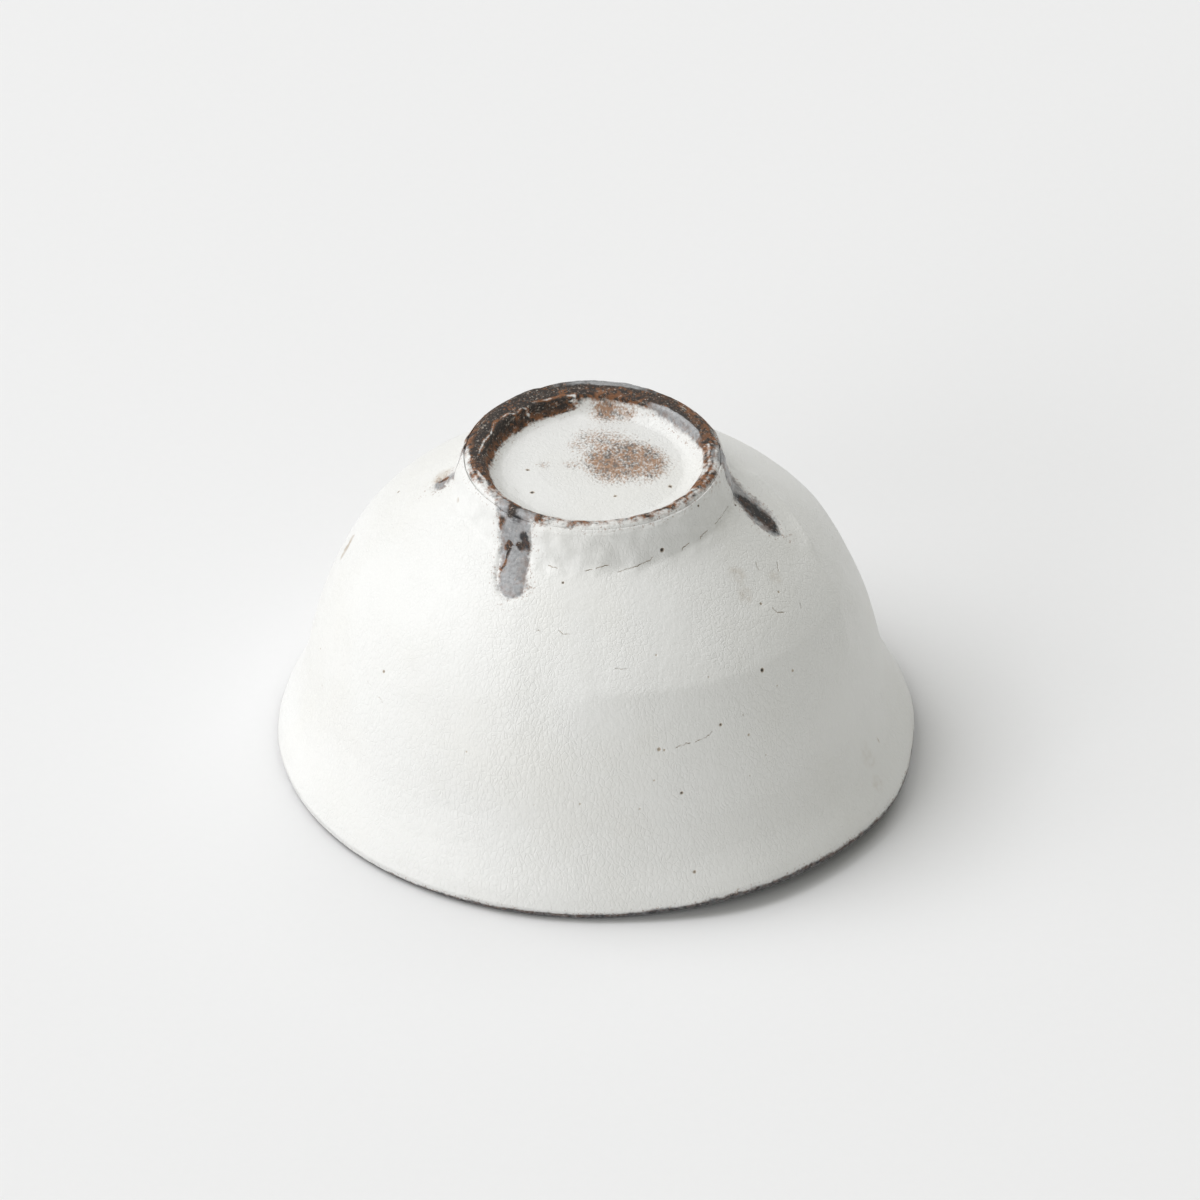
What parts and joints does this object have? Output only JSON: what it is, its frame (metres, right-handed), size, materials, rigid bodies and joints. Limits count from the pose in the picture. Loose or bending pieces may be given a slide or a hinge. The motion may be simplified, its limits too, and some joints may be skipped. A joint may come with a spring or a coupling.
{
  "type": "sake cup",
  "caption": "Low round sake cup with a flared rim and a small foot ring, dark clay under white slip and clear glaze, stored mouth down on its rim.",
  "frame": {"origin": "centre of the mouth, in the plane of the rim that the cup stands on", "axes": "+Z from the mouth to the foot, so the cup is stored mouth down, as pictured; -Y faces the picture's camera and +X is to its right"},
  "size_m": [0.0857, 0.0856, 0.046],
  "materials": {
    "clay": "matte",
    "white_slip": "satin",
    "grey_glaze": "satin"
  },
  "bodies": {
    "root": {"bowl": "clay", "foot_ring": "clay", "outer_slip_coat": "white_slip", "inner_slip_coat": "white_slip", "well_slip_coat": "white_slip", "finger_mark_front": "grey_glaze", "finger_mark_right": "grey_glaze", "finger_mark_left": "grey_glaze", "finger_mark_back": "grey_glaze"}
  },
  "joints": []
}
